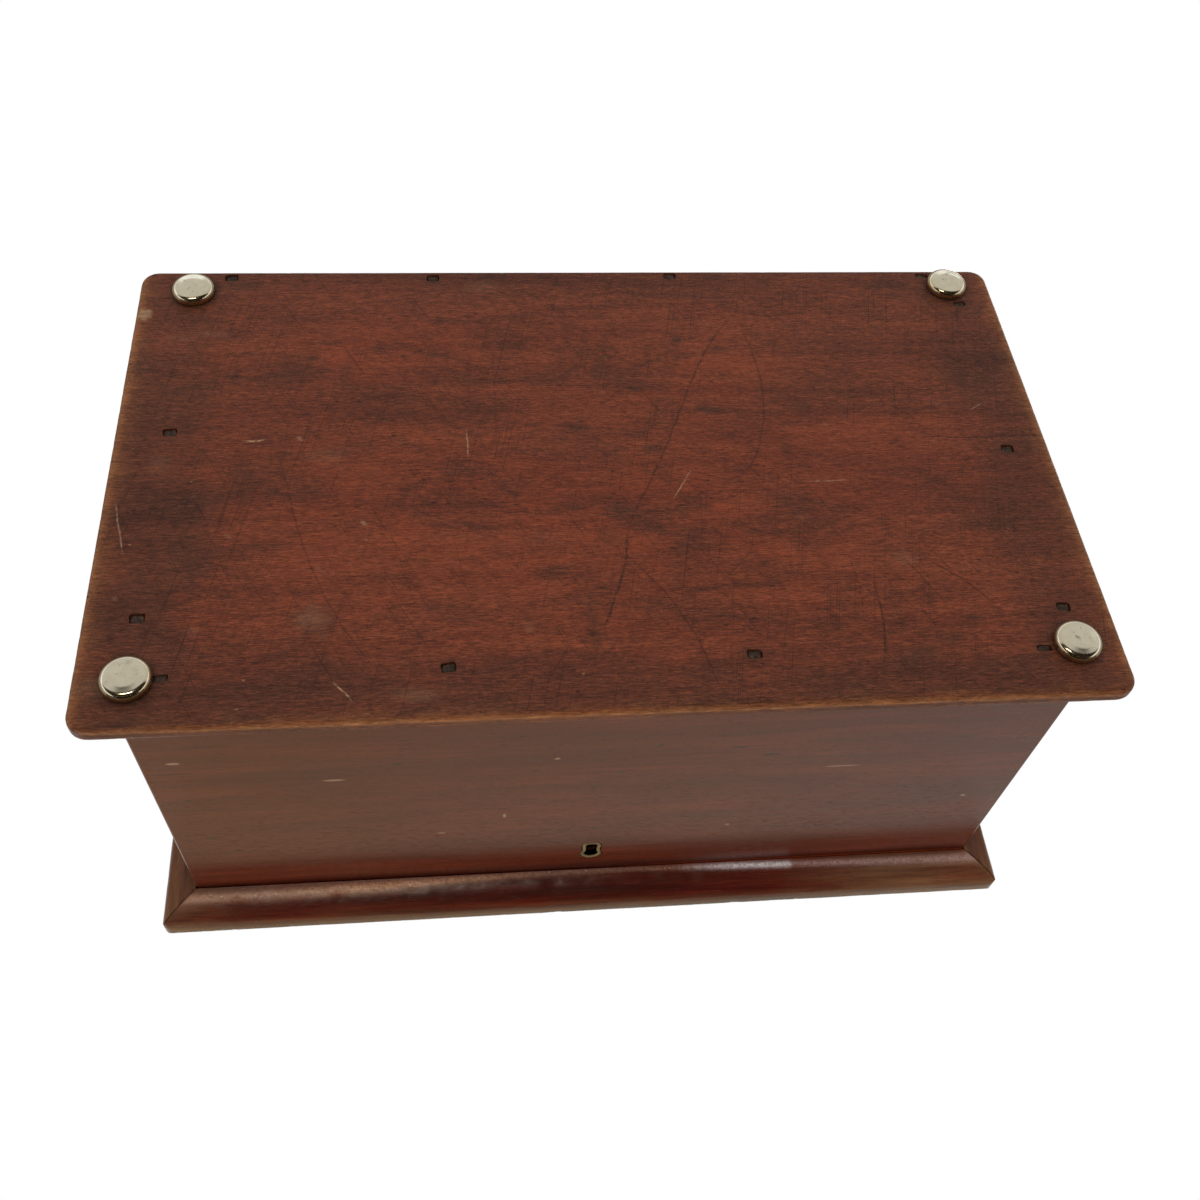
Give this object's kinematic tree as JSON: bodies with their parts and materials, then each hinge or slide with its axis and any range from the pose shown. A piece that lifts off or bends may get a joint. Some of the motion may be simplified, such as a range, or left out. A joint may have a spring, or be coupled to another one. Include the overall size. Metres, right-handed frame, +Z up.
{
  "type": "document box",
  "caption": "Hinged mahogany box for papers: dovetailed case, nailed base on domed glides, moulded lid on butt hinges, and a box lock with a sliding bolt.",
  "frame": {"origin": "middle of the overall box in plan, on the surface that the glides stand on", "axes": "+Z up, front with the keyhole towards -Y, +X to the right seen from the front"},
  "size_m": [0.4046, 0.2492, 0.1955],
  "materials": {
    "base_wood": "old reddish mahogany, waxed, scratched, grain along X",
    "case_wood": "glossy brown mahogany, old varnish",
    "lid_wood": "glossy red-brown mahogany, old varnish",
    "iron": "dark rusted wrought iron",
    "nickel": "worn nickel plate on steel",
    "brass": "dull old brass",
    "steel": "grey steel"
  },
  "bodies": {
    "case": {"back_board": "case_wood", "base_board": "base_wood", "base_nails": "iron", "front_board": "case_wood", "glide_back_left": "nickel", "glide_back_right": "nickel", "glide_front_left": "nickel", "glide_front_right": "nickel", "hinge_case_screws": "brass", "hinge_left_case_leaf": "brass", "hinge_left_pin": "steel", "hinge_right_case_leaf": "brass", "hinge_right_pin": "steel", "keyhole_escutcheon": "brass", "lock_backplate": "brass", "lock_cap": "brass", "lock_drill_pin": "steel", "lock_guide_studs": "steel", "lock_screws": "steel", "lock_ward": "brass", "side_board_left": "case_wood", "side_board_right": "case_wood"},
    "lid": {"hinge_left_lid_leaf": "brass", "hinge_lid_screws": "brass", "hinge_right_lid_leaf": "brass", "lid_panel": "lid_wood", "link_plate": "brass", "link_plate_screws": "steel", "link_staples": "brass", "moulding_front": "lid_wood", "moulding_left": "lid_wood", "moulding_pins": "iron", "moulding_right": "lid_wood"},
    "bolt": {"bolt_spring": "steel", "lock_bolt": "steel"}
  },
  "joints": [
    {"name": "lid_hinge", "type": "hinge", "parent": "case", "child": "lid", "pos_m": [0, 0.1221, 0.18272], "axis": [-1, 0, 0], "range_deg": [0, 180]},
    {"name": "bolt_throw", "type": "slide", "parent": "case", "child": "bolt", "axis": [1, 0, 0], "range_m": [0, 0.006]}
  ]
}
